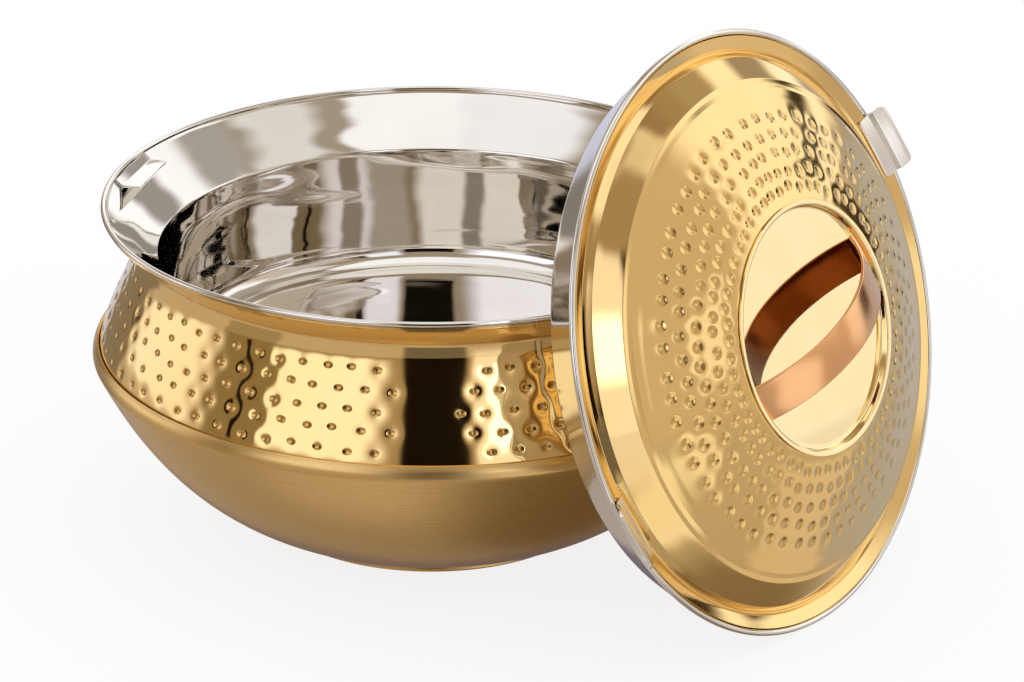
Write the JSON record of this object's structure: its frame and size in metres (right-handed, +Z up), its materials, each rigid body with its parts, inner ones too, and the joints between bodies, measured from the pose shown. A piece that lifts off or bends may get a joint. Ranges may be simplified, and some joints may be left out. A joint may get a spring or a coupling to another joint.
{
  "type": "insulated chapati casserole",
  "caption": "Round double-walled serving casserole with a wide mirror mouth, a hammered gold band and a loose domed lid that turns under two catches.",
  "frame": {"origin": "on the pot's axis, on the flat underside of the base plate, at the table", "axes": "+Z up along the pot's axis; +Y points away from the picture's camera and +X to its right; the lid leans on the pot's rim on the +X -Y side"},
  "size_m": [0.3326, 0.3248, 0.2222],
  "materials": {
    "gold_mirror": "gold vapour-coated mirror stainless sheet, hammered with small dimples on the band and dome",
    "gold_satin": "satin gold-coated stainless sheet",
    "mirror_steel": "mirror-polished stainless sheet",
    "satin_steel": "satin stainless tab",
    "pale_gold": "pale gold mirror sheet",
    "rose_gold": "rose-gold coated mirror strip",
    "pu_foam": "rigid insulating foam, hidden between the two skins"
  },
  "bodies": {
    "pot": {"upper_shell": "gold_mirror", "lower_shell": "gold_satin", "bowl": "mirror_steel", "body_foam": "pu_foam", "base_plate": "gold_satin", "catch_left": "mirror_steel", "catch_right": "mirror_steel"},
    "lid": {"lid_top": "gold_mirror", "lid_pan": "mirror_steel", "lid_foam": "pu_foam", "hand_cup": "pale_gold", "strap": "rose_gold", "lug_upper": "satin_steel", "lug_lower": "satin_steel"}
  },
  "joints": [
    {"name": "lid_off", "type": "slide", "parent": "pot", "child": "lid", "axis": [0.7735, -0.5641, 0.289], "range_m": [0, 0.15]}
  ]
}
